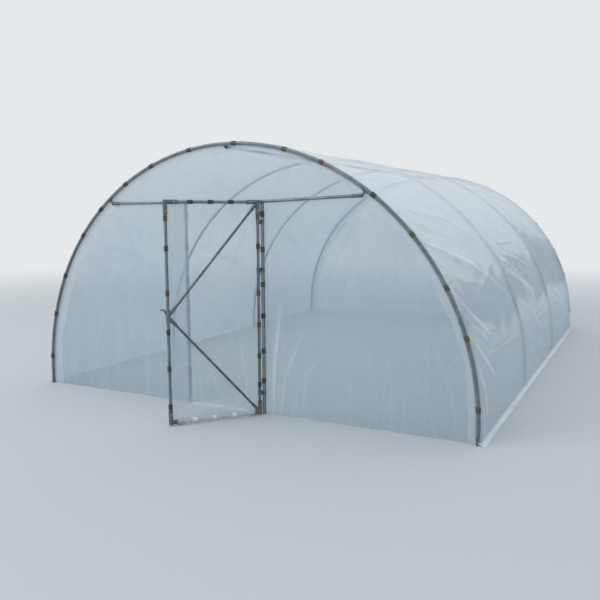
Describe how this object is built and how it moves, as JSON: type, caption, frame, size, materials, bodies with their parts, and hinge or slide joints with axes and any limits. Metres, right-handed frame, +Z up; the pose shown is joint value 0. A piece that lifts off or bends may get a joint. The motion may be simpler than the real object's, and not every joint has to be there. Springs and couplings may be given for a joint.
{
  "type": "polytunnel greenhouse",
  "caption": "Round-roofed tunnel greenhouse: bent tube hoops under clear film, film end walls, and a hinged tube-framed door standing open.",
  "frame": {"origin": "on the ground, on the tunnel's centre line, in the plane of the front hoop, at the underside of the doorway's sill", "axes": "+Z up, +Y from the door end along the tunnel to the rear, +X to the right as seen when walking in"},
  "size_m": [4.9184, 7.4786, 2.6047],
  "materials": {
    "galvanised_tube": "dull galvanised",
    "strap_steel": "dull galvanised",
    "greenhouse_film": "clear, a little milky",
    "film_clips": "satin",
    "cast_fittings": "dull galvanised",
    "collar_paint": "satin"
  },
  "bodies": {
    "tunnel": {"cover_left_crown": "greenhouse_film", "cover_left_foot": "greenhouse_film", "cover_left_shoulder": "greenhouse_film", "cover_left_side": "greenhouse_film", "cover_right_crown": "greenhouse_film", "cover_right_foot": "greenhouse_film", "cover_right_shoulder": "greenhouse_film", "cover_right_side": "greenhouse_film", "door_sill": "strap_steel", "front_film_left": "greenhouse_film", "front_film_right": "greenhouse_film", "front_film_top": "greenhouse_film", "front_hoop": "galvanised_tube", "front_hoop_clips": "film_clips", "hinge_straps": "strap_steel", "hoop_2": "galvanised_tube", "hoop_3": "galvanised_tube", "jamb_clips": "film_clips", "jamb_left": "galvanised_tube", "jamb_right": "galvanised_tube", "rear_film": "greenhouse_film", "rear_hoop": "galvanised_tube", "ridge_pole": "galvanised_tube", "tie_bar": "galvanised_tube", "tie_brackets": "cast_fittings"},
    "door": {"door_bottom_rail": "galvanised_tube", "door_clips": "film_clips", "door_film": "greenhouse_film", "door_fittings": "cast_fittings", "door_hinge_stile": "galvanised_tube", "door_latch_stile": "galvanised_tube", "door_lower_brace": "galvanised_tube", "door_pull": "strap_steel", "door_top_rail": "galvanised_tube", "door_upper_brace": "galvanised_tube", "hinge_collar": "collar_paint"}
  },
  "joints": [
    {"name": "door_hinge", "type": "hinge", "parent": "tunnel", "child": "door", "pos_m": [0.368, -0.05, 0], "axis": [0, 0, 1], "range_deg": [-50, 115]}
  ]
}
